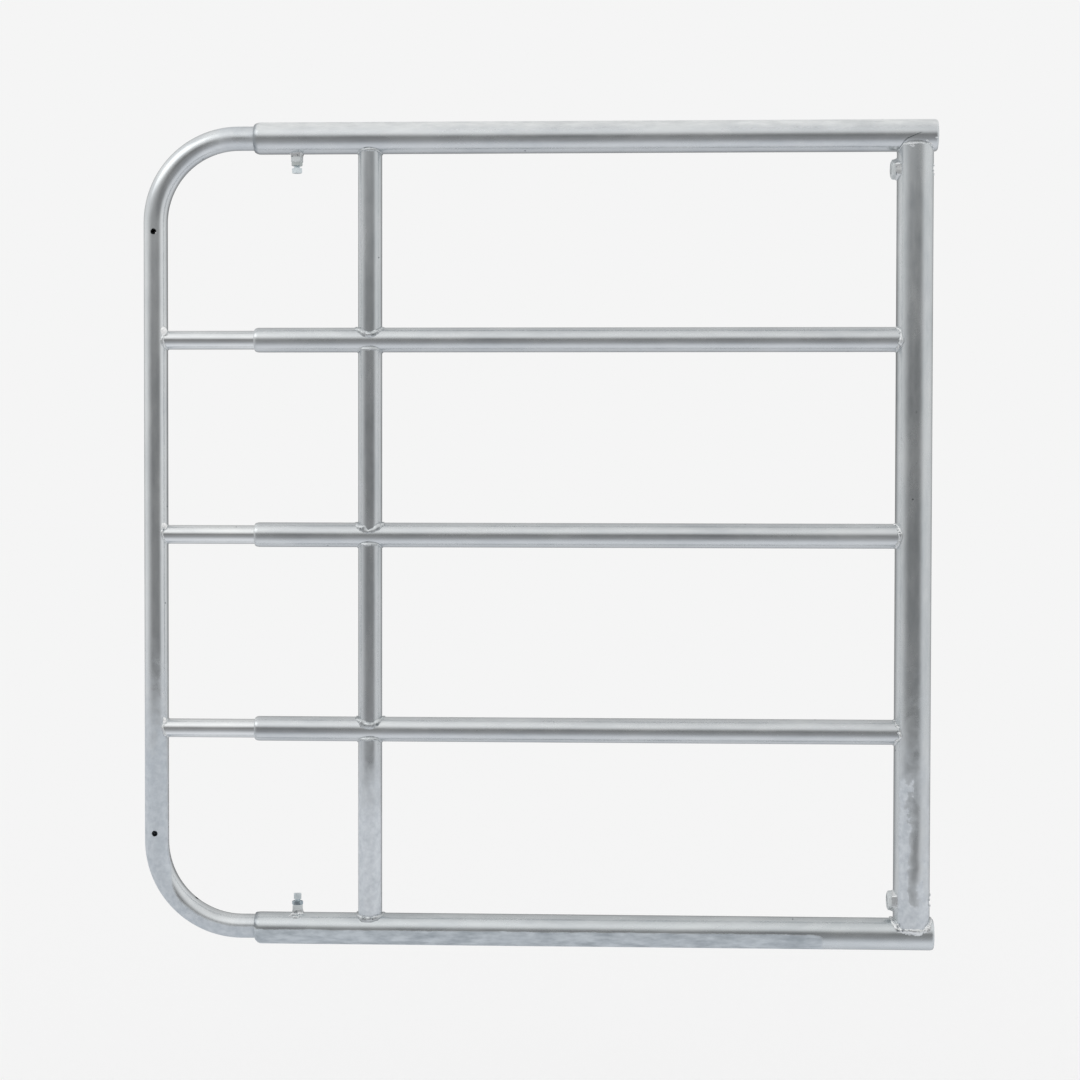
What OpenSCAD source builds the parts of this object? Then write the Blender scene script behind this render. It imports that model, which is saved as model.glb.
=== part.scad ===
// Adjustable field gate: a welded tube leaf whose end frame telescopes out of the rails.
// Millimetres. X runs along the gate with the hinge side at +X, Z is up, the front faces -Y.
// The origin lies on the free face of the lower hinge nut, a little above its bolt axis.

/* [Leaf] */
// overall height of the leaf
gate_h = 1100; // [900:10:1300]
// how far the rails run past the outer side of the hinge upright
rail_overhang = 4.5; // [2:0.5:12]
// from the upright's axis to the open mouths of the rails
rail_reach = 876.5; // [780:0.5:1000]
// from the upright's axis to the axis of the vertical stay
stay_reach = 722; // [500:1:780]
// how far the upper and lower rails are drawn in from even spacing towards the middle rail
rail_draw = 1.8; // [0:0.1:6]

/* [Tubes] */
// outside diameter of the top and bottom rails
rail_d = 42.4; // [38:0.1:50]
// wall of the top and bottom rails
rail_t = 2; // [1.5:0.1:2.4]
// outside diameter of the three mid rails
mid_d = 33; // [32.5:0.1:38]
// wall of the mid rails
mid_t = 2; // [1.5:0.1:2.4]
// outside diameter of the hinge upright
upright_d = 48.3; // [44:0.1:60]
// wall of the hinge upright
upright_t = 2.6; // [2:0.1:4]
// outside diameter of the vertical stay
stay_d = 32; // [25:0.1:32]
// wall of the vertical stay
stay_t = 2; // [1.5:0.1:3]

/* [Sliding end frame] */
// outside diameter of the bent end frame
end_d = 32; // [28:0.1:32.5]
// wall of the bent end frame
end_t = 2; // [1.5:0.1:3]
// centre-line radius of the upper bend
bend_r = 112; // [70:1:140]
// centre-line radius of the lower bend
bend_r_low = 115; // [70:1:130]
// bare leg between the top rail's mouth and the start of the upper bend, pushed in
mouth_room = 21.85; // [20:0.05:300]
// outside diameter of the inner mid tubes
inner_d = 25; // [20:0.1:26]
// wall of the inner mid tubes
inner_t = 2; // [1.5:0.1:3]
// how far the lower leg rides above the axis of the bottom rail
leg_lift = 2; // [0:0.1:2]
// room between the ends of the inner tubes and the upright
end_room = 6; // [5:0.5:20]
// diameter of the two latch holes through the end frame
latch_hole_d = 8; // [6:0.5:10]
// from the top and bottom of the leaf to the latch holes
latch_inset = 146; // [135:1:200]
// how much further in from the edge the lower latch hole is
latch_rise = 3; // [0:0.5:10]
// diameter of the drain hole inside the lower bend
drain_d = 6; // [4:0.5:8]
// how far round the lower bend the drain hole is, in degrees from the upright side
drain_turn = 52; // [30:1:75]

/* [Hinge nuts] */
// width across the flats of the welded hinge nuts
hinge_nut_af = 24; // [20:0.5:27]
// thickness of the hinge nuts
hinge_nut_h = 8; // [6:0.5:12]
// diameter of the hinge nuts' bore, the crest of the thread
hinge_bore_d = 14; // [12:0.1:15]
// diameter of the bolt holes drilled through the upright
hinge_hole_d = 17; // [16:0.1:19]
// from the top and bottom of the leaf to the hinge bolt axes
hinge_inset = 66; // [62:1:90]
// from the lower bolt axis up to the origin on the nut's face
seat_up = 9.5; // [9:0.1:10]

/* [Clamp screws] */
// from the mouths of the top and bottom rails in to the clamp screws
clamp_inset = 56.5; // [30:0.5:90]
// thread diameter of the clamp screws
screw_d = 8; // [6:0.1:9]
// width across the flats of the square clamp nuts and of the hexagon lock nuts
clamp_af = 13; // [12:0.1:17]
// width across the flats of the square screw heads
head_af = 10; // [8:0.1:13]
// turn of the top clamp nut from square with the rail, in degrees
nut_turn_top = -9; // [-45:1:45]
// turn of the bottom clamp nut from square with the rail, in degrees
nut_turn_bottom = 6; // [-45:1:45]
// depth of weld between a rail and the clamp nut that stands on it
clamp_seat = 2.2; // [0.5:0.1:3]
// thickness of the clamp nuts welded to the rails
clamp_nut_h = 8.4; // [6:0.1:10]
// thickness of the lock nuts
lock_nut_h = 4.8; // [4:0.1:8]
// bare shank between the lock nut and the screw head
shank_show = 3; // [1:0.5:12]
// thickness of the screw heads
head_h = 6.8; // [5:0.1:8]
// radial room between a screw and its nuts
screw_fit = 0.06; // [0.02:0.01:0.1]
// room between a screw's tip and the tube that it clamps
tip_gap = 0.5; // [0.3:0.1:1]

/* [Welds] */
// leg length of the weld beads round the tubes
weld_w = 3; // [2:0.1:4]
// width of the weld round the nuts
nut_weld_w = 1.6; // [1:0.1:3]
// height of the weld up the sides of the nuts
nut_weld_h = 2.4; // [1:0.1:4]
// how far past the edge of the top rail the upright's trimmed lips reach
lip_top = 8.2; // [6:0.1:12]
// how far past the edge of the bottom rail the upright's trimmed lips reach
lip_bottom = 12.2; // [6:0.1:13]
// how far past a rail's edge the trimmed upper lips of the stay reach
stay_lip = 4; // [2:0.1:6]

/* [Hidden] */
$fn = 96;
// axis heights of the five rails above the bottom of the leaf
bay = (gate_h - 2 * rail_d - 3 * mid_d) / 4;
z_bottom = rail_d / 2;
z_lower = rail_d + bay + mid_d / 2 + rail_draw;
z_middle = gate_h / 2;
z_upper = gate_h - z_lower;
z_top = gate_h - rail_d / 2;
// ends of the rails, and the end frame's upright axis
rail_end = upright_d / 2 + rail_overhang;
// overall width with the end frame pushed in
closed_w = rail_end + rail_reach + mouth_room + bend_r + end_d / 2;
end_x = -(closed_w - rail_end - end_d / 2);
tube_end = -(upright_d / 2 + end_room);
z_leg = z_bottom + leg_lift;
// hinge nuts stand a hair off the upright, and the weld fills the gap
seat_gap = 0.2;
hinge_face = -(upright_d / 2 + seat_gap + hinge_nut_h);
z_hinge_low = hinge_inset;
z_hinge_high = gate_h - hinge_inset;
// clamp stacks, measured outward from the rail's axis
clamp_x = -(rail_reach - clamp_inset);
clamp_nut_0 = rail_d / 2 + clamp_seat;
lock_nut_0 = clamp_nut_0 + clamp_nut_h;
head_0 = lock_nut_0 + lock_nut_h + shank_show;
nut_bore = screw_d / 2 + screw_fit;
rail_hole = screw_d / 2 + 0.8;
steel = [0.70, 0.72, 0.73];
weld_grey = [0.78, 0.80, 0.81];
screw_grey = [0.60, 0.62, 0.64];

module placed() {
    translate([-hinge_face, 0, -(z_hinge_low + seat_up)])
        children();
}

module rod_x(r, x0, x1, z) {
    translate([x0, 0, z])
        rotate([0, 90, 0])
            cylinder(r = r, h = x1 - x0);
}

module rod_y(r, x, z, half) {
    translate([x, half, z])
        rotate([90, 0, 0])
            cylinder(r = r, h = 2 * half);
}

module rod_z(r, x, z0, z1) {
    translate([x, 0, z0])
        cylinder(r = r, h = z1 - z0);
}

// a round tube along X with open ends
module tube_x(d, t, x0, x1, z) {
    difference() {
        rod_x(d / 2, x0, x1, z);
        rod_x(d / 2 - t, x0 - 1, x1 + 1, z);
    }
}

// a prism with flat sides, its corners bevelled at both ends, standing along Z;
// ease is the share of its corners that the bevel takes
module flat_prism(sides, af, h, ease) {
    corner = af / (2 * cos(180 / sides));
    bevel = (corner - af / 2) * ease;
    intersection() {
        translate([0, 0, -1])
            cylinder(r = corner, h = h + 2, $fn = sides);
        rotate_extrude()
            polygon([
                [0, 0],
                [corner - 1.6 * bevel, 0],
                [corner + 0.1, bevel],
                [corner + 0.1, h - bevel],
                [corner - 1.6 * bevel, h],
                [0, h]
            ]);
    }
}

module hex_prism(af, h) {
    flat_prism(6, af, h, 0.6);
}

// a square prism with two of its sides along X, turned about Z
module square_prism(af, h, turn) {
    rotate([0, 0, 45 + turn])
        flat_prism(4, af, h, 0.25);
}

// stands a child that rises along +Z on the underside of the top rail
module under_top_rail(out) {
    translate([clamp_x, 0, z_top - out])
        mirror([0, 0, 1])
            children();
}

// stands a child that rises along +Z on the upper side of the bottom rail
module over_bottom_rail(out) {
    translate([clamp_x, 0, z_bottom + out])
        children();
}

// stands a child that rises along +Z on the gate side of the upright
module on_upright(z, out) {
    translate([-out, 0, z])
        rotate([0, -90, 0])
            children();
}

// rails of the hinged frame

module hinge_upright() {
    color(steel)
        placed()
            difference() {
                rod_z(upright_d / 2, 0, rail_d - lip_bottom, gate_h - rail_d + lip_top);
                rod_z(upright_d / 2 - upright_t, 0, z_bottom, z_top);
                rod_x(rail_d / 2, -60, 60, z_bottom);
                rod_x(rail_d / 2, -60, 60, z_top);
                rod_x(hinge_hole_d / 2, -60, 60, z_hinge_low);
                rod_x(hinge_hole_d / 2, -60, 60, z_hinge_high);
            }
}

module top_rail() {
    color(steel)
        placed()
            difference() {
                tube_x(rail_d, rail_t, -rail_reach, rail_end, z_top);
                rod_z(rail_hole, clamp_x, z_top - rail_d, z_top);
            }
}

module bottom_rail() {
    color(steel)
        placed()
            difference() {
                tube_x(rail_d, rail_t, -rail_reach, rail_end, z_bottom);
                rod_z(rail_hole, clamp_x, z_bottom, z_bottom + rail_d);
            }
}

module mid_rail(z) {
    color(steel)
        placed()
            difference() {
                tube_x(mid_d, mid_t, -rail_reach, 0, z);
                rod_z(upright_d / 2, 0, z - mid_d, z + mid_d);
            }
}

module upper_rail() {
    mid_rail(z_upper);
}

module middle_rail() {
    mid_rail(z_middle);
}

module lower_rail() {
    mid_rail(z_lower);
}

// one length of the stay, coped to the rails below and above it
module stay_length(z0, d0, z1, d1) {
    color(steel)
        placed()
            difference() {
                rod_z(stay_d / 2, -stay_reach, z0, z1 - d1 / 2 + stay_lip);
                rod_z(stay_d / 2 - stay_t, -stay_reach, z0 - 1, z1 + 1);
                rod_x(d0 / 2, -stay_reach - 40, -stay_reach + 40, z0);
                rod_x(d1 / 2, -stay_reach - 40, -stay_reach + 40, z1);
            }
}

module top_stay() {
    stay_length(z_upper, mid_d, z_top, rail_d);
}

module upper_stay() {
    stay_length(z_middle, mid_d, z_upper, mid_d);
}

module lower_stay() {
    stay_length(z_lower, mid_d, z_middle, mid_d);
}

module bottom_stay() {
    stay_length(z_bottom, rail_d, z_lower, mid_d);
}

// nuts and clamp screws

module hinge_nut(z) {
    color(screw_grey)
        placed()
            on_upright(z, upright_d / 2 + seat_gap)
                difference() {
                    hex_prism(hinge_nut_af, hinge_nut_h);
                    translate([0, 0, -1])
                        cylinder(r = hinge_bore_d / 2, h = hinge_nut_h + 2);
                }
}

module top_hinge_nut() {
    hinge_nut(z_hinge_high);
}

module bottom_hinge_nut() {
    hinge_nut(z_hinge_low);
}

// the child with a plain bore for the clamp screw
module bored(h) {
    difference() {
        children();
        translate([0, 0, -1])
            cylinder(r = nut_bore, h = h + 2);
    }
}

module top_clamp_nut() {
    color(screw_grey)
        placed()
            under_top_rail(clamp_nut_0)
                bored(clamp_nut_h)
                    square_prism(clamp_af, clamp_nut_h, nut_turn_top);
}

module bottom_clamp_nut() {
    color(screw_grey)
        placed()
            over_bottom_rail(clamp_nut_0)
                bored(clamp_nut_h)
                    square_prism(clamp_af, clamp_nut_h, nut_turn_bottom);
}

module top_lock_nut() {
    color(screw_grey)
        placed()
            under_top_rail(lock_nut_0)
                bored(lock_nut_h)
                    hex_prism(clamp_af, lock_nut_h);
}

module bottom_lock_nut() {
    color(screw_grey)
        placed()
            over_bottom_rail(lock_nut_0)
                bored(lock_nut_h)
                    hex_prism(clamp_af, lock_nut_h);
}

// a square-head screw whose tip lies at the given distance from the rail's axis
module clamp_screw(tip, turn) {
    translate([0, 0, tip])
        cylinder(r = screw_d / 2, h = head_0 + 1 - tip);
    translate([0, 0, head_0])
        square_prism(head_af, head_h, turn);
}

module top_clamp_screw() {
    color(screw_grey)
        placed()
            under_top_rail(0)
                clamp_screw(end_d / 2 + tip_gap, 36);
}

module bottom_clamp_screw() {
    color(screw_grey)
        placed()
            over_bottom_rail(0)
                clamp_screw(end_d / 2 + leg_lift + tip_gap, 8);
}

// weld beads

// the bead where an upright tube meets a rail, kept between two heights
module saddle_bead(d_rail, z_rail, d_post, x_post, z0, z1) {
    difference() {
        intersection() {
            rod_x(d_rail / 2 + weld_w, x_post - 45, x_post + 45, z_rail);
            rod_z(d_post / 2 + weld_w, x_post, z0, z1);
        }
        rod_x(d_rail / 2, x_post - 50, x_post + 50, z_rail);
        rod_z(d_post / 2, x_post, z0 - 1, z1 + 1);
    }
}

// the bead where a rail butts against an upright tube, on the side that the rail is on
module butt_bead(d_rail, z_rail, d_post, x_post, x0, x1) {
    difference() {
        intersection() {
            rod_x(d_rail / 2 + weld_w, x0, x1, z_rail);
            rod_z(d_post / 2 + weld_w, x_post, z_rail - 45, z_rail + 45);
        }
        rod_x(d_rail / 2, x0 - 1, x1 + 1, z_rail);
        rod_z(d_post / 2, x_post, z_rail - 50, z_rail + 50);
    }
}

// the bead along a tube's trimmed end, below a rail when side is -1 and above it when 1
module lip_bead(d_rail, z_rail, d_post, t_post, x_post, reach, side) {
    lip = z_rail + side * (d_rail / 2 - reach);
    near = lip - side * weld_w;
    far = z_rail + side * 45;
    difference() {
        intersection() {
            rod_x(d_rail / 2 + weld_w, x_post - 45, x_post + 45, z_rail);
            rod_z(d_post / 2 + weld_w, x_post, min(near, far), max(near, far));
        }
        rod_x(d_rail / 2, x_post - 50, x_post + 50, z_rail);
        rod_z(d_post / 2 - t_post - 1.7 * weld_w, x_post, z_rail - 50, z_rail + 50);
        rod_z(d_post / 2, x_post, min(lip, far + side), max(lip, far + side));
    }
}

module upright_welds() {
    color(weld_grey)
        placed() {
            butt_bead(mid_d, z_upper, upright_d, 0, -45, 0);
            butt_bead(mid_d, z_middle, upright_d, 0, -45, 0);
            butt_bead(mid_d, z_lower, upright_d, 0, -45, 0);
            lip_bead(rail_d, z_top, upright_d, upright_t, 0, lip_top, -1);
            lip_bead(rail_d, z_bottom, upright_d, upright_t, 0, lip_bottom, 1);
        }
}

// the beads at the lower and upper end of one length of the stay
module stay_beads(z0, d0, z1, d1) {
    saddle_bead(d0, z0, stay_d, -stay_reach, z0 + 2, z0 + 45);
    lip_bead(d1, z1, stay_d, stay_t, -stay_reach, stay_lip, -1);
}

module stay_welds() {
    color(weld_grey)
        placed() {
            stay_beads(z_upper, mid_d, z_top, rail_d);
            stay_beads(z_middle, mid_d, z_upper, mid_d);
            stay_beads(z_lower, mid_d, z_middle, mid_d);
            stay_beads(z_bottom, rail_d, z_lower, mid_d);
        }
}

// the collar of weld under and round a nut; the children are the nut's shape and the tube that it sits on
module nut_collar(corner, seat, hole) {
    difference() {
        cylinder(r = corner + nut_weld_w, h = seat + nut_weld_h);
        translate([0, 0, seat])
            children(0);
        translate([0, 0, -1])
            cylinder(r = hole, h = seat + nut_weld_h + 2);
        children(1);
    }
}

module nut_welds() {
    color(weld_grey)
        placed() {
            under_top_rail(0)
                nut_collar(clamp_af / sqrt(2), clamp_nut_0, rail_hole) {
                    square_prism(clamp_af, clamp_nut_h + 10, nut_turn_top);
                    rod_x(rail_d / 2, -50, 50, 0);
                }
            over_bottom_rail(0)
                nut_collar(clamp_af / sqrt(2), clamp_nut_0, rail_hole) {
                    square_prism(clamp_af, clamp_nut_h + 10, nut_turn_bottom);
                    rod_x(rail_d / 2, -50, 50, 0);
                }
            for (z = [z_hinge_high, z_hinge_low])
                on_upright(z, 0)
                    nut_collar(hinge_nut_af / sqrt(3), upright_d / 2 + seat_gap, hinge_hole_d / 2) {
                        hex_prism(hinge_nut_af, hinge_nut_h + 10);
                        rod_x(upright_d / 2, -50, 50, 0);
                    }
        }
}

// sliding end frame

// a quarter bend in the XZ plane, from straight up to straight left of its centre
module quarter_bend(r, bend) {
    rotate([90, 0, 0])
        rotate([0, 0, 90])
            rotate_extrude(angle = 90)
                translate([bend, 0])
                    circle(r = r);
}

// the bent path as a solid rod: two legs, two bends and the end upright
module bent_rod(r, over) {
    rod_x(r, end_x + bend_r, tube_end + over, z_top);
    translate([end_x + bend_r, 0, z_top - bend_r])
        quarter_bend(r, bend_r);
    rod_z(r, end_x, z_leg + bend_r_low, z_top - bend_r);
    translate([end_x + bend_r_low, 0, z_leg + bend_r_low])
        mirror([0, 0, 1])
            quarter_bend(r, bend_r_low);
    rod_x(r, end_x + bend_r_low, tube_end + over, z_leg);
}

// a short drill through the inner side of the lower bend
module bend_drain() {
    translate([end_x + bend_r_low, 0, z_leg + bend_r_low])
        rotate([0, -drain_turn, 0])
            translate([-bend_r_low, 0, 0])
                rotate([0, 90, 0])
                    cylinder(r = drain_d / 2, h = end_d);
}

module end_frame() {
    color(steel)
        placed()
            difference() {
                bent_rod(end_d / 2, 0);
                bent_rod(end_d / 2 - end_t, 1);
                rod_y(latch_hole_d / 2, end_x, latch_inset + latch_rise, 40);
                rod_y(latch_hole_d / 2, end_x, gate_h - latch_inset, 40);
                bend_drain();
            }
}

module slide_tube(z) {
    color(steel)
        placed()
            difference() {
                tube_x(inner_d, inner_t, end_x, tube_end, z);
                rod_z(end_d / 2, end_x, z - 30, z + 30);
            }
}

module upper_slide_tube() {
    slide_tube(z_upper);
}

module middle_slide_tube() {
    slide_tube(z_middle);
}

module lower_slide_tube() {
    slide_tube(z_lower);
}

module end_frame_welds() {
    color(weld_grey)
        placed() {
            butt_bead(inner_d, z_upper, end_d, end_x, end_x, end_x + 45);
            butt_bead(inner_d, z_middle, end_d, end_x, end_x, end_x + 45);
            butt_bead(inner_d, z_lower, end_d, end_x, end_x, end_x + 45);
        }
}

hinge_upright();
top_rail();
upper_rail();
middle_rail();
lower_rail();
bottom_rail();
top_stay();
upper_stay();
lower_stay();
bottom_stay();
top_hinge_nut();
bottom_hinge_nut();
top_clamp_nut();
bottom_clamp_nut();
top_lock_nut();
bottom_lock_nut();
upright_welds();
stay_welds();
nut_welds();
end_frame();
upper_slide_tube();
middle_slide_tube();
lower_slide_tube();
end_frame_welds();
top_clamp_screw();
bottom_clamp_screw();
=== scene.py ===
from math import asin, atan2, cos, degrees, pi, radians, sin, sqrt

import bpy
import numpy as np
from mathutils import Euler, Matrix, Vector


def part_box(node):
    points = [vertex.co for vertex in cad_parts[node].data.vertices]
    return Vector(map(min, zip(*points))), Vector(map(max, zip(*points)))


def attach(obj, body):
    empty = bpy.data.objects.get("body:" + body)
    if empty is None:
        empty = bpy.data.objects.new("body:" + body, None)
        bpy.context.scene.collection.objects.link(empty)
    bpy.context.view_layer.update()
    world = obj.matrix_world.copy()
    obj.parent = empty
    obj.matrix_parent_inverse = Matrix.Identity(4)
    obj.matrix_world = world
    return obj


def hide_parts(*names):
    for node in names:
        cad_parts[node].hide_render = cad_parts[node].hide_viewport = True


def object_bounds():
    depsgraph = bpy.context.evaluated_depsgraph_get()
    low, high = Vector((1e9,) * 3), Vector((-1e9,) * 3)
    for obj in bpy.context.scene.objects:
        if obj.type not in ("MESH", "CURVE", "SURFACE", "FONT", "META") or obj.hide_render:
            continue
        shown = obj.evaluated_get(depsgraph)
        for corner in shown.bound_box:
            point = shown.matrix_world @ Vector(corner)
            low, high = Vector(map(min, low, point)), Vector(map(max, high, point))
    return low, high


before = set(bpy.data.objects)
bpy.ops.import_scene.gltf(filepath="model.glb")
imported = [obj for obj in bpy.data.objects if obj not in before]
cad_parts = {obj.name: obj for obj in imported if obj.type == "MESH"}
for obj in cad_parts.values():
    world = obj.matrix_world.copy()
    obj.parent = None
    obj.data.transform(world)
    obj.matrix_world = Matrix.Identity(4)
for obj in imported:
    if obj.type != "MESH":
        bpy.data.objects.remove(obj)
cad_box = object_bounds()
MM = 0.001


def linear(hex_colour):
    """An sRGB hex colour as the linear RGBA that a shader takes."""
    parts = [int(hex_colour[i:i + 2], 16) / 255 for i in (1, 3, 5)]
    return tuple(c / 12.92 if c <= 0.04045 else ((c + 0.055) / 1.055) ** 2.4 for c in parts) + (1,)


def add(tree, kind, settings=(), **links):
    """Adds one node; settings are its properties, links its inputs by name, or by number as i0, i1."""
    made = tree.nodes.new(kind)
    for name, value in dict(settings).items():
        setattr(made, name, value)
    for name, value in links.items():
        key = int(name[1:]) if name[0] == "i" and name[1:].isdigit() else name.replace("_", " ")
        socket = made.inputs[key]
        if isinstance(value, bpy.types.NodeSocket):
            tree.links.new(value, socket)
        else:
            socket.default_value = value
    return made


def maths(tree, operation, *values, clamp=False):
    links = {"i%d" % k: value for k, value in enumerate(values)}
    return add(tree, "ShaderNodeMath", {"operation": operation, "use_clamp": clamp}, **links).outputs[0]


def smooth(low, high, value):
    """0 below low, 1 above high, and an even S curve between; low may be the larger one."""
    t = np.clip((value - low) / (high - low), 0.0, 1.0)
    return t * t * (3 - 2 * t)


def window(value, edges):
    """1 between the two middle edges, falling evenly to 0 at the two outer ones."""
    return smooth(edges[0], edges[1], value) * smooth(edges[3], edges[2], value)


def turns(count):
    """Angles of count even steps round a circle."""
    return np.linspace(0, 2 * pi, count, endpoint=False)


def new_material(name):
    material = bpy.data.materials.new(name)
    material.use_nodes = True
    material.node_tree.nodes.clear()
    return material, material.node_tree


# Studio: white paper all round, and a toned light tent that only the zinc mirrors

PAPER = "#F5F5F5"
FLOOR_DROP, FLOOR_FAR = 0.42, 60.0
TENT_R, TENT_CENTRE = 6.0, (-0.47, 0.0, 0.47)
TENT_ROWS, TENT_COLUMNS = 60, 120
floor_z = cad_box[0][2] - FLOOR_DROP


def light_studio():
    world = bpy.data.worlds.new("white_studio")
    bpy.context.scene.world = world
    world.use_nodes = True
    tree = world.node_tree
    tree.nodes.clear()
    path = add(tree, "ShaderNodeLightPath").outputs
    seen = maths(tree, "MAXIMUM", path["Is Camera Ray"], path["Is Transmission Ray"])
    seen = maths(tree, "MAXIMUM", seen, path["Is Glossy Ray"])
    light = add(tree, "ShaderNodeBackground", Color=(1, 1, 1, 1), Strength=1.0)
    paper = add(tree, "ShaderNodeBackground", Color=linear(PAPER), Strength=1.0)
    sky = add(tree, "ShaderNodeMixShader", i0=seen, i1=light.outputs[0], i2=paper.outputs[0])
    add(tree, "ShaderNodeOutputWorld", Surface=sky.outputs[0])


def stage_piece(name, mesh, material):
    piece = bpy.data.objects.new(name, mesh)
    mesh.materials.append(material)
    bpy.context.scene.collection.objects.link(piece)
    return piece


def lay_floor():
    mesh = bpy.data.meshes.new("floor")
    corners = [(x * FLOOR_FAR, y * FLOOR_FAR, floor_z) for x, y in ((-1, -1), (1, -1), (1, 1), (-1, 1))]
    mesh.from_pydata(corners, [], [(0, 1, 2, 3)])
    material, tree = new_material("matt_paper_floor")
    sheet = add(tree, "ShaderNodeBsdfDiffuse", Color=linear(PAPER))
    add(tree, "ShaderNodeOutputMaterial", Surface=sheet.outputs[0])
    stage_piece("floor", mesh, material).visible_glossy = False


# brightness of the tent by the angle up from the front, over the top, to the back, in degrees
TENT_ANGLES = [-180, -135, -98, -72, -50, -20, 20, 45, 70, 98, 132, 180]
TENT_LIGHT = [0.58, 0.70, 0.74, 0.88, 0.82, 0.82, 0.92, 0.99, 0.86, 0.72, 0.61, 0.58]
# brightness of the tent's upper front, by the sideways part of the direction
ACROSS = [-1.0, -0.6, -0.2, 0.0, 0.15, 0.3, 0.7, 1.0]
ACROSS_LIGHT = [1.0, 1.0, 1.08, 1.0, 0.91, 0.88, 0.96, 1.0]
# brightness of the dim front of the tent, by the angle up
DIM_ANGLES = [-35, -12, -4, 2, 12]
DIM_LIGHT = [0.38, 0.33, 0.29, 0.21, 0.16]
# where the tent is dim, straight in front and behind: edges of its rise and turn, in degrees
DIM_RISE, DIM_TURN = (-60, -20, 0, 32), (-98, -22, 30, 66)
DIM_BEHIND, BEHIND_TURN = 0.85, (118, 160)
# a brighter patch up to the left, which lights the upper bend: how much brighter, and its edges
SOFT_BOX = 0.62
BOX_RISE, BOX_TURN = (20, 28, 46, 54), (-85, -75, -36, -26)
# how much red, green and blue gain below the horizon, where the floor looks a little bluer
TINT_BELOW = (-0.025, -0.01, 0.03)


def tent_light(d):
    """How bright the tent is in a direction: light above the front, dim straight in front, greyer behind."""
    rise = degrees(asin(max(-1, min(1, d[2]))))
    turn = degrees(atan2(d[0], -d[1]))
    ahead = np.interp(rise, TENT_ANGLES, TENT_LIGHT)
    behind = np.interp(180 - rise if rise >= 0 else -180 - rise, TENT_ANGLES, TENT_LIGHT)
    back = smooth(95, 165, abs(turn))
    across = 1 + (np.interp(d[0], ACROSS, ACROSS_LIGHT) - 1) * (1 - back) * smooth(-20, 15, rise)
    light = (ahead * (1 - back) + behind * back) * across
    facing_dim = np.maximum(window(turn, DIM_TURN), DIM_BEHIND * smooth(*BEHIND_TURN, abs(turn)))
    dim = window(rise, DIM_RISE) * facing_dim
    box = window(rise, BOX_RISE) * window(turn, BOX_TURN)
    return light * (1 - dim) + np.interp(rise, DIM_ANGLES, DIM_LIGHT) * dim + SOFT_BOX * box


def pitch_tent():
    rows, columns = TENT_ROWS, TENT_COLUMNS
    verts, tones = [], []
    for r in range(rows + 1):
        up = radians(-90 + 180 * r / rows)
        for c in range(columns):
            turn = 2 * pi * c / columns
            d = (cos(up) * sin(turn), -cos(up) * cos(turn), sin(up))
            verts.append([TENT_R * d[k] + TENT_CENTRE[k] for k in range(3)])
            light, below = tent_light(d), smooth(10, -40, degrees(up))
            tones += [light * (1 + gain * below) for gain in TINT_BELOW] + [1.0]
    faces = [(r * columns + c, r * columns + (c + 1) % columns,
              (r + 1) * columns + (c + 1) % columns, (r + 1) * columns + c)
             for r in range(rows) for c in range(columns)]
    mesh = bpy.data.meshes.new("light_tent")
    mesh.from_pydata(verts, [], faces)
    mesh.attributes.new("tone", "FLOAT_COLOR", "POINT").data.foreach_set("color", tones)
    material, tree = new_material("toned_tent_cloth")
    tone = add(tree, "ShaderNodeAttribute", {"attribute_name": "tone"}).outputs["Color"]
    cloth = add(tree, "ShaderNodeEmission", Color=tone, Strength=1.0)
    add(tree, "ShaderNodeOutputMaterial", Surface=cloth.outputs[0])
    tent = stage_piece("light_tent", mesh, material)
    tent.visible_camera = False
    tent.visible_diffuse = False
    tent.visible_shadow = False
    tent.visible_transmission = False


# the view of the photograph: place in metres, angles in degrees, focal length in its pixels
VIEW_SPOT = (-0.3321, -3.0, 0.5386)
VIEW_DOWN, VIEW_LEFT, VIEW_ROLL = 1.341, 2.484, 0.102
FOCAL_PIXELS, FRAME_PIXELS, SENSOR = 2252.3, 1080, 36


def set_camera():
    lens = bpy.data.cameras.new("front")
    lens.sensor_fit = "HORIZONTAL"
    lens.sensor_width = SENSOR
    lens.lens = SENSOR * FOCAL_PIXELS / FRAME_PIXELS
    lens.clip_start = 0.01
    lens.clip_end = 200
    camera = bpy.data.objects.new("front", lens)
    aim = Euler((radians(90 - VIEW_DOWN), 0, radians(VIEW_LEFT))).to_matrix()
    look = aim @ Matrix.Rotation(radians(VIEW_ROLL), 3, "Z")
    camera.location = VIEW_SPOT
    camera.rotation_euler = look.to_euler()
    bpy.context.scene.collection.objects.link(camera)
    bpy.context.scene.camera = camera


light_studio()
lay_floor()
pitch_tent()
set_camera()


# Where the solids are, in millimetres

def box_mm(node):
    low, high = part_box(node)
    return np.array(low) / MM, np.array(high) / MM


def along_x(node):
    """Axis height, outside radius and the two ends of a tube that lies along X."""
    low, high = box_mm(node)
    return (low[2] + high[2]) / 2, (high[2] - low[2]) / 2, low[0], high[0]


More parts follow.
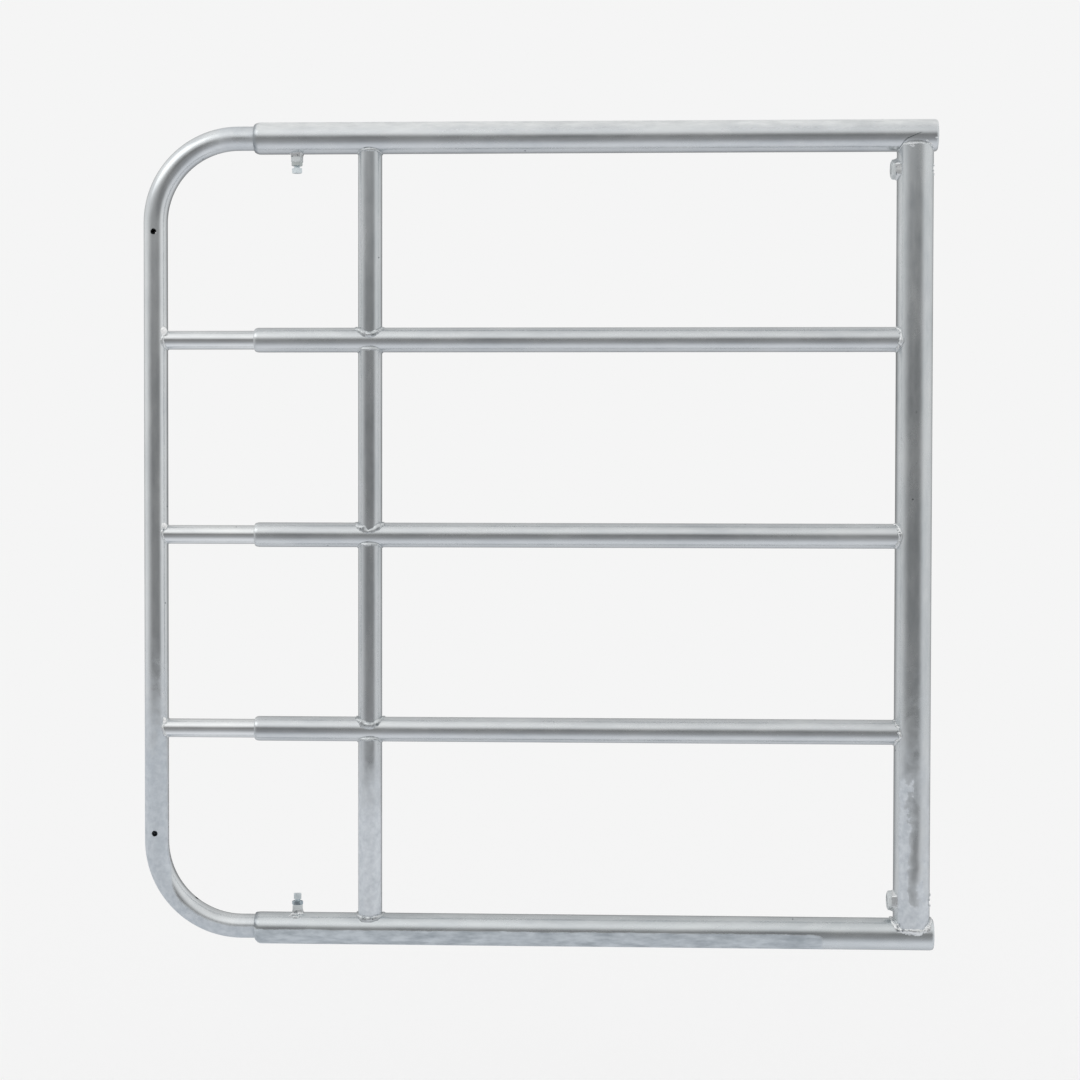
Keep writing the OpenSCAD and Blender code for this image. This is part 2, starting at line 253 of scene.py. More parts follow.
RAIL_WALL, MID_WALL, UPRIGHT_WALL, STAY_WALL, END_WALL, INNER_WALL = 2.0, 2.0, 2.6, 2.0, 2.0, 2.0
RAILS = ["top_rail", "upper_rail", "middle_rail", "lower_rail", "bottom_rail"]
rail_z = {n: along_x(n)[0] for n in RAILS}
rail_r = {n: along_x(n)[1] for n in RAILS}
rails_right = along_x("top_rail")[3]
low, high = box_mm("hinge_upright")
upright_x, upright_r = (low[0] + high[0]) / 2, (high[0] - low[0]) / 2
lip_low = low[2] - rail_z["bottom_rail"]
lip_high = rail_z["top_rail"] - high[2]
low, high = box_mm("upper_stay")
stay_x, stay_r = (low[0] + high[0]) / 2, (high[0] - low[0]) / 2
low, high = box_mm("end_frame")
end_r = (high[1] - low[1]) / 2
INNER_R = along_x("middle_slide_tube")[1]
end_x = low[0] + end_r
leg_top_z, leg_low_z, leg_end_x = high[2] - end_r, low[2] + end_r, high[0]
leaf_low, leaf_high = cad_box[0][2] / MM, cad_box[1][2] / MM
BEND_R, BEND_R_LOW = 112.0, 115.0
LATCH_HOLE_R, DRAIN_R, DRAIN_TURN, HINGE_HOLE_R = 4.0, 3.0, 52.0, 8.5
LATCH_INSET, LATCH_RISE = 146.0, 3.0
CLAMP_AF, HEAD_AF, HEAD_H, SCREW_R, SCREW_FIT, SCREW_PITCH = 13.0, 10.0, 6.8, 4.0, 0.06, 1.25
CLAMP_HOLE_R = SCREW_R + 0.8
HINGE_AF, HINGE_BORE_R, HINGE_PITCH = 24.0, 7.0, 2.0


# Mesh helpers; creases sharper than these angles in degrees stay sharp

TUBE_CREASE, NUT_CREASE, WELD_CREASE = 38, 30, 60


def skin(rows, closed):
    """Quads over a stack of rings, as closed faces that look outward.

    A closed stack joins its last ring to its first, an open one gets end caps."""
    rows = np.asarray(rows, float)
    m, n = rows.shape[:2]
    verts = rows.reshape(-1, 3)
    here = np.arange(m if closed else m - 1)[:, None] * n
    over = (here + n) % (m * n)
    side, beside = np.arange(n)[None, :], (np.arange(n)[None, :] + 1) % n
    quads = np.stack([here + side, here + beside, over + beside, over + side], 2).reshape(-1, 4)
    p = verts[quads]
    volume = np.sum(p[:, 0] * (np.cross(p[:, 1], p[:, 2]) + np.cross(p[:, 2], p[:, 3])))
    faces = quads.tolist()
    if not closed:
        verts = np.vstack([verts, rows[0].mean(0), rows[-1].mean(0)])
        b = (m - 1) * n
        faces += [[m * n, (i + 1) % n, i] for i in range(n)]
        faces += [[m * n + 1, b + i, b + (i + 1) % n] for i in range(n)]
        caps = verts[np.array(faces[len(quads):])]
        volume += np.sum(caps[:, 0] * np.cross(caps[:, 1], caps[:, 2]))
    return verts, [f[::-1] for f in faces] if volume < 0 else faces


def joined(parts):
    """Several closed skins in millimetres as one mesh in metres."""
    verts, faces = [], []
    for v, f in parts:
        faces += [[i + len(verts) for i in face] for face in f]
        verts += (v * MM).tolist()
    mesh = bpy.data.meshes.new("made")
    mesh.from_pydata(verts, [], faces)
    return mesh


def shade(mesh, crease):
    mesh.polygons.foreach_set("use_smooth", [True] * len(mesh.polygons))
    mesh.set_sharp_from_angle(angle=radians(crease))


def piece_of(name, parts, body, node, material, crease=TUBE_CREASE):
    """One object from closed skins, riding on a body and standing for a CAD node where one is named."""
    mesh = joined(parts)
    mesh.name = name
    shade(mesh, crease)
    mesh.materials.append(material)
    piece = bpy.data.objects.new(name, mesh)
    bpy.context.scene.collection.objects.link(piece)
    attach(piece, body)
    if node:
        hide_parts(node)
    return piece


def drill(piece, cutters):
    """Takes closed skins out of a piece, for holes."""
    bit = bpy.data.objects.new("drill", joined(cutters))
    bpy.context.scene.collection.objects.link(bit)
    cut = piece.modifiers.new("holes", "BOOLEAN")
    cut.operation = "DIFFERENCE"
    cut.solver = "EXACT"
    cut.object = bit
    bpy.context.view_layer.update()
    drilled = bpy.data.meshes.new_from_object(piece.evaluated_get(bpy.context.evaluated_depsgraph_get()))
    piece.modifiers.remove(cut)
    piece.data = drilled
    shade(drilled, TUBE_CREASE)
    bpy.data.objects.remove(bit)


def round_rod(centre, axis, radius, length, sides=32):
    """A plain closed rod for drilling, centred on a point."""
    axis = np.asarray(axis, float)
    u = np.cross(axis, (0.31, 0.52, 0.79))
    u /= np.linalg.norm(u)
    v = np.cross(axis, u)
    turn = turns(sides)
    ring = radius * (np.outer(np.cos(turn), u) + np.outer(np.sin(turn), v))
    reach = axis * length / 2
    return skin([np.asarray(centre) - reach + ring, np.asarray(centre) + reach + ring], False)


def mark_matt_and_painted_light(piece, how_marked):
    """Stores how matt the zinc is at each point, or how much painted shade it takes where below 0.

    how_marked takes x, y and z arrays in millimetres."""
    spots = np.empty(len(piece.data.vertices) * 3)
    piece.data.vertices.foreach_get("co", spots)
    x, y, z = spots.reshape(-1, 3).T / MM
    # the mark holds matt zinc, the top rail's painted highlight, and painted shade below 0
    marks = piece.data.attributes.new("matt_and_painted_light", "FLOAT", "POINT").data
    marks.foreach_set("value", how_marked(x, y, z) + 0 * x)


# Tubes: both walls, rounded zinc-thick edges, ends coped to what they meet

NO_NECK = (0.0, 0.0, 1.0)
# where rings lie close to an end, in millimetres from it
NEAR_END = [1.2, 2.2, 3.4, 4.8, 6.4, 8.5, 14.0]
# a rim's cross-section: steps round it, and its roundness from 1, round, towards 0, square
RIM_STEPS, RIM_ROUND = 6, 0.6


def tube(axis, centre, radius, wall, start, stop, step=10.0, sides=72, necks=(NO_NECK, NO_NECK)):
    """A tube along x or z; start and stop take y round a ring and give its end.

    A neck is how far an end is drawn in, how far its rim is pushed up, and over what length."""
    turn = turns(sides)
    across, level = np.cos(turn), np.sin(turn)
    inner, mid, half = radius - wall, radius - wall / 2, wall / 2
    edge = []
    for k in range(RIM_STEPS + 1):
        c, s = cos(pi * k / RIM_STEPS), sin(pi * k / RIM_STEPS)
        edge.append((mid - half * np.sign(c) * abs(c) ** RIM_ROUND, half * (1 - abs(s) ** RIM_ROUND)))
    near = NEAR_END
    count = max(2, int((np.min(stop(radius * level)) - np.max(start(radius * level))) / step))
    plan = [(r, 0, off) for r, off in edge] + [(radius, 0, off) for off in near]
    plan += [(radius, 2, i / count) for i in range(1, count)] + [(radius, 1, off) for off in near[::-1]]
    plan += [(r, 1, off) for r, off in edge[::-1]] + [(inner, 1, off) for off in near]
    plan += [(inner, 2, i / count) for i in range(count - 1, 0, -1)] + [(inner, 0, off) for off in near[::-1]]
    rows = []
    for r, where, value in plan:
        s0, s1 = start(r * level), stop(r * level)
        between = s0 + near[-1] + (s1 - s0 - 2 * near[-1]) * value
        s = (s0 + value, s1 - value, between)[where] + np.zeros(sides)
        drawn, pushed, over = necks[where] if where < 2 else NO_NECK
        near_end = max(0.0, 1 - value / over) ** 2
        r, middle = r - drawn * near_end, centre + pushed * near_end
        if axis == "x":
            rows.append(np.stack([s, r * level, middle + r * across], 1))
        else:
            rows.append(np.stack([middle + r * across, r * level, s], 1))
    return skin(rows, True)


def flat_end(place):
    return lambda y: place + 0 * y


def butt_end(post_x, post_r, side):
    """An end coped to an upright tube at post_x; side is -1 on its left, 1 on its right."""
    return lambda y: post_x + side * np.sqrt(np.maximum(post_r ** 2 - y ** 2, 0))


def saddle_end(z, r, side, lip=0.0):
    """An end coped to a rail at height z, trimmed no nearer its axis than lip; side is 1 above the rail."""
    return lambda y: z + side * np.maximum(np.sqrt(np.maximum(r ** 2 - y ** 2, 0)), lip)


def end_frame_path():
    """Points and directions along the bent tube, from the top leg's end round to the lower leg's."""
    points, ahead = [], []
    top_x, low_x = end_x + BEND_R, end_x + BEND_R_LOW
    bend_turns = np.radians(np.arange(0, 90.1, 3))
    for x in np.concatenate([np.linspace(leg_end_x, top_x + 60, 24), np.linspace(top_x + 50, top_x + 5, 6)]):
        points.append((x, 0, leg_top_z))
        ahead.append((-1, 0, 0))
    for turn in bend_turns:
        points.append((top_x - BEND_R * sin(turn), 0, leg_top_z - BEND_R + BEND_R * cos(turn)))
        ahead.append((-cos(turn), 0, -sin(turn)))
    for z in np.linspace(leg_top_z - BEND_R - 9, leg_low_z + BEND_R_LOW + 9, 84):
        points.append((end_x, 0, z))
        ahead.append((0, 0, -1))
    for turn in bend_turns:
        z = leg_low_z + BEND_R_LOW - BEND_R_LOW * sin(turn)
        points.append((low_x - BEND_R_LOW * cos(turn), 0, z))
        ahead.append((sin(turn), 0, -cos(turn)))
    for x in np.concatenate([np.linspace(low_x + 5, low_x + 50, 6), np.linspace(low_x + 60, leg_end_x, 24)]):
        points.append((x, 0, leg_low_z))
        ahead.append((1, 0, 0))
    return np.array(points), np.array(ahead, float)


def bent_tube():
    points, ahead = end_frame_path()
    turn = turns(72)
    side = np.array((0, 1, 0.0))
    last = len(points) - 1

    def ring(k, r, shift=0.0):
        out = np.cross(side, ahead[k])
        around = np.outer(np.cos(turn), out) + np.outer(np.sin(turn), side)
        return points[k] + shift * ahead[k] + r * around

    inner, ease = end_r - END_WALL, 0.5
    rows = [ring(0, inner + ease), ring(0, end_r - ease), ring(0, end_r, ease)]
    rows += [ring(k, end_r) for k in range(1, last)]
    rows += [ring(last, end_r, -ease), ring(last, end_r - ease)]
    rows += [ring(last, inner + ease), ring(last, inner, -ease)]
    rows += [ring(k, inner) for k in range(last - 1, 0, -1)] + [ring(0, inner, ease)]
    return skin(rows, True)


# Weld metal, in millimetres: steps along a bead, spacing of its lumps, and the length over which it closes

BEAD_STEP, LUMP_EVERY, CLOSING_STEPS = 0.8, 7, 6.0
# how far a bead stands out, as a share of its width: plain, at a ripple's crest, and by chance
SWELL, RIPPLE_SWELL, CHANCE_SWELL = 0.24, 0.10, 0.10
# quick unevenness of a bead, as a share of its slow unevenness
QUICK = 0.4


def closing_fade(count):
    """0 where a ring of count points closes on itself and 1 away from there."""
    return np.clip(np.minimum(np.arange(count), count - np.arange(count)) / CLOSING_STEPS, 0, 1)


def wander(seed, count, knots, size):
    """A smooth seeded run of count values about 0, at most size."""
    draw = np.random.default_rng(seed).uniform(-1, 1, knots + 3)
    x = np.linspace(0, knots, count)
    i = x.astype(int)
    t = x - i
    t = t * t * (3 - 2 * t)
    return size * (draw[i] * (1 - t) + draw[i + 1] * t)


def unit(vectors):
    return vectors / np.linalg.norm(vectors, axis=1)[:, None]


def fillet(crease, up_one, out_other, onto_other, climb, run, seed, uneven=0.28, ripple=2.7):
    """A closed ring of weld in a crease: it climbs one tube and runs out on the other, rippled and uneven.

    Its back is sunk a little into both tubes."""
    def closed(values):
        return np.vstack([values, values[:1]])

    length = np.concatenate([[0], np.cumsum(np.linalg.norm(np.diff(closed(crease), axis=0), axis=1))])
    count = int(length[-1] / BEAD_STEP)
    at = np.linspace(0, length[-1], count, endpoint=False)

    def even(values):
        return np.stack([np.interp(at, length, closed(values)[:, k]) for k in range(3)], 1)

    root, up, out = even(crease), even(up_one), even(out_other)
    knots = max(6, int(length[-1] / LUMP_EVERY))
    fade = closing_fade(count)

    def leg(first):
        slow = wander(first, count, knots, uneven)
        return 1 + fade * (slow + wander(first + 1, count, 3 * knots, QUICK * uneven))

    a, b = climb * leg(seed), run * leg(seed + 2)
    wave = np.abs(np.sin(pi * at / ripple + 2 * wander(seed + 4, count, knots, 1.0))) * fade
    high, wide = root + a[:, None] * up, onto_other(root + b[:, None] * out)
    chord = np.linalg.norm(wide - high, axis=1)
    bulge = unit(unit(up) + unit(out))
    chance = wander(seed + 5, count, 2 * knots, CHANCE_SWELL)
    swell = chord * (SWELL + RIPPLE_SWELL * wave + fade * chance)
    rows = [high - 0.5 * bulge]
    for k in range(9):
        s = k / 8
        proud = swell * (1 - (2 * s - 1) ** 2) - 0.12
        rows.append(high * (1 - s) + wide * s + proud[:, None] * bulge)
    rows += [wide - 0.6 * bulge, root - 1.4 * bulge]
    return skin(np.array(rows).transpose(1, 0, 2), True)


def blob(spot, size, seed):
    """A lump of weld metal or spatter: a squashed ball with an uneven skin."""
    a, b, c = np.random.default_rng(seed).uniform(0, 6.28, 3)
    turn = turns(20)
    rows = []
    for i in range(1, 14):
        t = pi * i / 14
        bump = 1 + 0.16 * np.sin(2 * turn + a) * sin(t)
        bump = bump + 0.10 * np.sin(3 * turn + b + 2 * t) + 0.05 * np.sin(5 * turn + c)
        rows.append(np.asarray(spot) + np.asarray(size) * np.stack(
            [sin(t) * np.cos(turn) * bump, sin(t) * np.sin(turn) * bump, np.full(20, cos(t))], 1))
    return skin(rows, False)


# welds stop this far from the rails' right ends
RAIL_END_KEPT = 1.5


def saddle_weld(x, r_post, z_rail, r_rail, side, lip, climb, run, seed, uneven=0.28, filled=False):
    """Weld where an upright tube stands on a rail, side 1, or hangs from one, side -1, trimmed at lip.

    A filled one levels the V that two tubes of like size make."""
    turn = turns(160)
    y = r_post * np.sin(turn)
    rise = np.maximum(np.sqrt(np.maximum(r_rail ** 2 - y ** 2, 0)), lip)
    crease = np.stack([x + r_post * np.cos(turn), y, z_rail + side * rise], 1)
    post_out = np.stack([np.cos(turn), np.sin(turn), 0 * turn], 1)
    rail_out = unit(np.stack([0 * turn, y, side * rise], 1))
    out = unit(post_out - np.sum(post_out * rail_out, axis=1)[:, None] * rail_out)

    def onto_rail(p):
        far = np.hypot(p[:, 1], p[:, 2] - z_rail)
        kept = np.minimum(p[:, 0], rails_right - RAIL_END_KEPT)
        return np.stack([kept, p[:, 1] * r_rail / far, z_rail + (p[:, 2] - z_rail) * r_rail / far], 1)

    front = np.abs(np.sin(turn))
    rise_leg, run_leg = 0.4 + 0.6 * front ** 0.6, 0.35 + 0.65 * front ** 0.6
    if filled:
        rise_leg, run_leg = 0.1 + 0.9 * front ** 2, 0.45 + 0.55 * np.abs(np.sin(2 * turn))
    up = np.stack([0 * turn, 0 * turn, side * rise_leg], 1)
    return fillet(crease, up, out * run_leg[:, None], onto_rail, climb, run, seed, uneven)


def butt_weld(x, r_post, z_rail, r_rail, side, climb, run, seed):
    """Weld where a rail butts on an upright tube; side is -1 on the tube's left."""
    turn = turns(140)
    y, z = r_rail * np.cos(turn), r_rail * np.sin(turn)
    reach = np.sqrt(np.maximum(r_post ** 2 - y ** 2, 0))
    crease = np.stack([x + side * reach, y, z_rail + z], 1)
    post_out = np.stack([side * reach, y, 0 * turn], 1) / r_post
    rail_out = np.stack([0 * turn, np.cos(turn), np.sin(turn)], 1)
    out = unit(rail_out - np.sum(rail_out * post_out, axis=1)[:, None] * post_out)

    def onto_post(p):
        far = np.hypot(p[:, 0] - x, p[:, 1])
        return np.stack([x + (p[:, 0] - x) * r_post / far, p[:, 1] * r_post / far, p[:, 2]], 1)

    leg = 0.3 + 0.7 * np.abs(np.cos(turn))
    along = np.stack([side * leg, 0 * turn, 0 * turn], 1)
    return fillet(crease, along, out * leg[:, None], onto_post, climb, run, seed, uneven=0.5)


# Nuts and screws: points round them, rings to a turn of thread, and the slope of their bevels

NUT_SIDES, THREAD_RINGS, BEVEL = 72, 8, 1.75
# heights from a prism's face at which its bevel has rings, in millimetres
BEVEL_DROPS = (0.0, 0.12, 0.3, 0.5, 0.75, 1.0, 1.3, 1.7, 2.2)


def flat_sides(turn, sides, flats, ease=50):
    """Distance from the axis to a prism's flat sides; the corners are rounder where ease is smaller."""
    k = np.arange(sides)[:, None] * 2 * pi / sides
    reach = np.maximum(np.cos(turn[None, :] - k), 1e-3) / (flats / 2)
    return 1 / (np.sum(reach ** ease, axis=0) ** (1 / ease))


def thread(turn, height, radius, depth, pitch):
    """A helical V thread: radius at its outside, depth to its root."""
    t = (height / pitch - turn / (2 * pi)) % 1.0
    return radius - depth * np.clip(1.15 * np.abs(2 * t - 1) - 0.08, 0, 1)


def prism_rows(turn, sides, flats, z0, z1, crown, bevel_low=True, ease=50):
    """Rings up the outside of a prism; crown is the radius of its bevelled faces."""
    wall = flat_sides(turn, sides, flats, ease)
    drop = [d for d in BEVEL_DROPS if d < (z1 - z0) / 2]
    rows = [(np.minimum(wall, crown + BEVEL * d) if bevel_low else wall, z0 + d) for d in drop]
    return rows + [(np.minimum(wall, crown + BEVEL * d), z1 - d) for d in drop[::-1]]


def lathe(rows, turn, spot, axis, face):
    """Places (radius, height) rings round an axis from a point; face is the direction of turn 0."""
    axis, face = np.asarray(axis, float), np.asarray(face, float)
    aside = np.cross(axis, face)
    return [np.asarray(spot) + np.outer(z + np.zeros(len(turn)), axis)
            + (r * np.cos(turn))[:, None] * face + (r * np.sin(turn))[:, None] * aside for r, z in rows]


def facing(turned):
    """The direction of a flat side that looks forward when turned is 0, in degrees about Z."""
    return (sin(radians(turned)), -cos(radians(turned)), 0.0)


def threaded_nut(spot, axis, face, sides, flats, crown, height, bore, pitch, ease=50):
    """A nut from spot along axis, with a threaded bore; bore is the thread's crest radius."""
    turn = turns(NUT_SIDES)
    ring = np.full(NUT_SIDES, 1.0)
    lead_in, cut = 0.9, 0.6 * pitch
    rows = [(ring * (bore + lead_in), 0.0)]
    rows += prism_rows(turn, sides, flats, 0.0, height, crown, True, ease)
    rows += [(ring * (bore + lead_in), height)]
    steps = int(height / pitch * THREAD_RINGS)
    for i in range(steps + 1):
        z = height * (1 - i / steps)
        mouth = 0.8 * max(0, 1 - min(z, height - z) / lead_in)
        rows.append((np.maximum(thread(turn, z, bore + cut, cut, pitch), bore + mouth), z))
    return skin(lathe(rows, turn, spot, axis, face), True)


def clamp_bolt(spot, axis, face, tip, head_low, head_high):
    """A square-head screw; distances along axis from spot: its tip, and both faces of its head."""
    turn = turns(NUT_SIDES)
    ring = np.full(NUT_SIDES, 1.0)
    rows = [(ring * 0.35 * SCREW_R, tip), (ring * 0.74 * SCREW_R, tip)]
    steps = int((head_low - tip) / SCREW_PITCH * THREAD_RINGS)
    for i in range(1, steps):
        z = tip + (head_low - tip) * i / steps
        lead = min(1.0, 0.76 + 0.24 * (z - tip) / 1.4)
        run_out = smooth(head_low - 0.2, head_low - 1.4, z)
        cut = thread(turn, z, SCREW_R, 0.58 * SCREW_PITCH * run_out, SCREW_PITCH)
        rows.append((np.minimum(cut, SCREW_R * lead), z))
    rows += [(ring * SCREW_R, head_low)]
    rows += prism_rows(turn, 4, HEAD_AF, head_low, head_high, 0.58 * HEAD_AF, False)
    rows += [(ring * 0.35 * HEAD_AF, head_high), (ring * 0.1 * HEAD_AF, head_high)]
    return skin(lathe(rows, turn, spot, axis, face), False)


def nut_collar(spot, axis, face, wall, hole, tube_r, base, climb, spread, seed):
    """Weld round a nut's foot: from the tube under it, base below the nut, up its sides by climb."""
    count = 90
    turn = turns(count)
    axis, face = np.asarray(axis, float), np.asarray(face, float)
    aside = np.cross(axis, face)
    foot = np.interp(turn, turns(NUT_SIDES), wall, period=2 * pi)
    loose = wander(seed, count, 14, 0.45) * closing_fade(count)
    top = climb * (1 + loose)
    rows = []

    def ring(r, height):
        return (np.asarray(spot) + (height + np.zeros(count))[:, None] * axis
                + (r * np.cos(turn))[:, None] * face + (r * np.sin(turn))[:, None] * aside)

    def surface(r):
        y = ring(r, 0)[:, 1]
        return np.sqrt(np.maximum(tube_r ** 2 - y ** 2, 0)) - tube_r - base - 0.8

    for k in range(9):
        t = k / 8
        r = foot + 0.25 + spread * (1 + 1.1 * loose) * (1 - t) ** 1.7
        floor = surface(r)
        rows.append(ring(r, floor + (top - floor) * t ** 1.15))
    rows += [ring(foot - 0.6, top - 0.3), ring(np.full(count, hole), 0.4)]
    rows.append(ring(np.full(count, hole), surface(np.full(count, hole))))
    return skin(rows, True)


# Materials, with pattern sizes in real millimetres; grain finer than the mottle would be lost from here

CLOUD, MOTTLE, PIT_EVERY, PATCH, BLOTCH = 30, 8, 24, 26, 8
# the middle size is that of the weld's grey spots of painted shade
WELD_LUMP, WELD_SHADE_SPOT, STAIN = 4, 5, 5
CLEAN_CHALK = ("#B4BAC2", "#DADEE3")
# colours of the zinc's pits, and the darker grey of painted shade on the rails' mouths
PIT_COLOUR, MOUTH_SHADE_COLOUR = "#6A7073", "#9EA3A7"
S_CURVE = "SMOOTHSTEP"


def noise(tree, where, size, detail, roughness=0.5, distortion=0.0):
    """Noise with lumps of a size in millimetres."""
    return add(tree, "ShaderNodeTexNoise", Vector=where, Scale=1 / (size * MM), Detail=detail,
               Roughness=roughness, Distortion=distortion).outputs[0]


def ramp(tree, value, low, high, to_low=0.0, to_high=1.0, curve="LINEAR"):
    """Takes a value from low..high to to_low..to_high, held there beyond either end."""
    return add(tree, "ShaderNodeMapRange", {"interpolation_type": curve}, Value=value, From_Min=low,
               From_Max=high, To_Min=to_low, To_Max=to_high).outputs[0]


def blend(tree, share, first, second):
    """The first colour where share is 0 and the second where it is 1."""
    first, second = [linear(c) if isinstance(c, str) else c for c in (first, second)]
    return add(tree, "ShaderNodeMix", {"data_type": "RGBA"}, i0=share, i6=first, i7=second).outputs[2]


def bumps(tree, strength, deep, height, **under):
    """Relief as deep as so many millimetres; under may name the Normal it lies on."""
    return add(tree, "ShaderNodeBump", Strength=strength, Distance=deep * MM, Height=height,
               **under).outputs[0]


def metal_skin(tree, tone, metal, rough, normal):
    skin_node = add(tree, "ShaderNodeBsdfPrincipled", Base_Color=tone, Metallic=metal, Roughness=rough,
                    Normal=normal)
    add(tree, "ShaderNodeOutputMaterial", Surface=skin_node.outputs[0])


def galvanised(name, pale, deep, gloss, satin, along, chalk_and_sheen=CLEAN_CHALK, edge=0.5, most=1.0, relief=0.35,
               even=False, bare=0.6):
    """Hot dipped zinc over drawn steel tube.

    The eye sees a cool grey satin mirror, clouded and mottled along the tube, a little wavy, with a few pits.
    Where a point is marked matt it fades, over edge, to a flat chalky grey, blotched along the tube unless
    even. With most under 1 the fade stops there, and the dullest patches are crusty. Where a point is marked
    below 0 a darker grey of painted shade is laid over the zinc. A larger bare leaves fewer pits, and 1
    leaves none."""
    material, tree = new_material(name)
    where = add(tree, "ShaderNodeTexCoord").outputs["Object"]
    stretch = {"x": (0.3, 1, 1), "z": (1, 1, 0.3)}[along]
    drawn = add(tree, "ShaderNodeMapping", Vector=where, Scale=stretch).outputs[0]
    # the mark: matt zinc, the top rail's painted highlight, and painted shade below 0
    marked = add(tree, "ShaderNodeAttribute", {"attribute_name": "matt_and_painted_light"}).outputs["Fac"]

    # clouds and mottle set the bright zinc's tone and gloss
    cloud = noise(tree, drawn, CLOUD, 4.0, 0.6)
    mottle = noise(tree, drawn, MOTTLE, 2.5, 0.6)
    mixed = maths(tree, "MULTIPLY_ADD", mottle, 0.5, -0.75)
    mixed = maths(tree, "MULTIPLY_ADD", cloud, 2.0, mixed, clamp=True)
    tone = blend(tree, mixed, deep, pale)
    rough = ramp(tree, cloud, 0.3, 0.7, gloss, satin)
    rough = maths(tree, "MULTIPLY_ADD", mottle, 0.03, rough)

    # how far each point has gone matt, with a patchy boundary
    patch = noise(tree, where, PATCH, 5.0, 0.6, 0.6)
    patchy = maths(tree, "MULTIPLY_ADD", patch, 0.9, -0.45)
    patchy = maths(tree, "ADD", patchy, marked)
    soft = ramp(tree, patchy, 0.5 - edge, 0.5 + edge, 0.0, most, S_CURVE)
    if most < 1:
        crust = ramp(tree, patchy, 0.60, 0.66, curve=S_CURVE)
        soft = maths(tree, "MAXIMUM", soft, crust)
    some = ramp(tree, marked, 0.0, 0.06)
    matt_and_painted_light = maths(tree, "MULTIPLY", soft, some)

    # the chalk's own blotches
    bloom = maths(tree, "MULTIPLY_ADD", patch, 1.3, -0.9, clamp=True)
    blotch = noise(tree, where if even else drawn, BLOTCH, 3.0, 0.6)
    bloom = maths(tree, "MULTIPLY_ADD", blotch, 1.5, bloom, clamp=True)
    white = blend(tree, bloom, *chalk_and_sheen)

    # a few pits, and a darker grey of painted shade where marked below 0
    pits = add(tree, "ShaderNodeTexVoronoi", Vector=where, Scale=1 / (PIT_EVERY * MM)).outputs
    pit = ramp(tree, pits["Distance"], 0.06, 0.03, curve=S_CURVE)
    rare = maths(tree, "GREATER_THAN", pits["Color"], bare)
    pit = maths(tree, "MULTIPLY", pit, rare)
    painted_shade = ramp(tree, marked, 0.0, -1.0)
    tone = blend(tree, matt_and_painted_light, tone, white)
    tone = blend(tree, pit, tone, PIT_COLOUR)
    tone = blend(tree, painted_shade, tone, MOUTH_SHADE_COLOUR)
    rough = add(tree, "ShaderNodeMix", i0=matt_and_painted_light, i2=rough, i3=0.55).outputs[0]
    metal = ramp(tree, matt_and_painted_light, 0.0, 1.0, 1.0, 0.35)

    wavy = bumps(tree, 1.0, relief, noise(tree, drawn, CLOUD, 1.0))
    metal_skin(tree, tone, metal, rough, bumps(tree, 0.25, 0.03, mottle, Normal=wavy))
    return material


def weld_metal(name, deep="#C9CDCF", pale="#F6F7F7", crevice_shade="#A6ABAE", metal=0.85):
    """Weld beads dipped with the rest: bright, lumpy zinc, with grey spots of painted shade for the dark
    crevices between its lumps.
    """
    material, tree = new_material(name)
    where = add(tree, "ShaderNodeTexCoord").outputs["Object"]
    lump = noise(tree, where, WELD_LUMP, 4.0, 0.6)
    patch = noise(tree, where, WELD_SHADE_SPOT, 2.0)
    # grey spots of painted shade, standing for the dark crevices between the lumps
    pit = ramp(tree, patch, 0.38, 0.33, curve=S_CURVE)
    tone = blend(tree, pit, blend(tree, lump, deep, pale), crevice_shade)
    rough = ramp(tree, patch, 0.0, 1.0, 0.18, 0.42)
    metal_skin(tree, tone, metal, rough, bumps(tree, 0.6, 0.5, lump))
    return material


def plated_steel(name, pale, deep, metal):
    """Turned and rolled steel, electroplated with zinc and passivated: smooth, cool and bright."""
    material, tree = new_material(name)
    where = add(tree, "ShaderNodeTexCoord").outputs["Object"]
    stain = noise(tree, where, STAIN, 4.0)
    tone = blend(tree, stain, deep, pale)
    rough = ramp(tree, stain, 0.0, 1.0, 0.25, 0.5)
    metal_skin(tree, tone, metal, rough, bumps(tree, 0.3, 0.05, stain))
    return material


rail_zinc = galvanised("hot_dipped_zinc_on_mid_rails", "#E2E5E6", "#C8CCCF", 0.18, 0.32, "x")
# on the top rail the chalk colours are a painted highlight along its top, for light falling from above
top_zinc_with_painted_sheen = galvanised("hot_dipped_zinc_on_top_rail_with_painted_highlight", "#E2E5E6", "#C8CCCF", 0.18, 0.32, "x",
                      ("#C2C5C6", "#E4E6E6"))
low_zinc = galvanised("hot_dipped_zinc_on_bottom_rail", "#E0E4E5", "#C6CBCE", 0.18, 0.32, "x",
                      ("#737D86", "#C6CDD3"), edge=0.22)
slide_zinc = galvanised("hot_dipped_zinc_on_slide_tubes", "#EFF1F1", "#DADDDF", 0.14, 0.24, "x")
end_zinc = galvanised("hot_dipped_zinc_on_end_frame", "#E4E7E8", "#CCD0D3", 0.14, 0.26, "z",
                      ("#A2ABB4", "#C8CED4"), even=True)
stay_zinc = galvanised("hot_dipped_zinc_on_stays", "#D8DBDD", "#C0C5C8", 0.18, 0.30, "z",
                       ("#AEB5BD", "#D6DBE0"), even=True)
post_zinc = galvanised("hot_dipped_zinc_on_upright", "#DBDEDF", "#BFC4C7", 0.18, 0.30, "z",
                       ("#A6ADB5", "#D0D5DA"), edge=0.34, most=0.75, even=True)
nut_zinc = galvanised("hot_dipped_zinc_on_nuts", "#E2E5E6", "#C2C8CA", 0.2, 0.4, "x",
                      ("#B6BCBE", "#D8DCDD"), relief=0.1, bare=1.0)
weld_zinc = weld_metal("hot_dipped_zinc_on_welds")
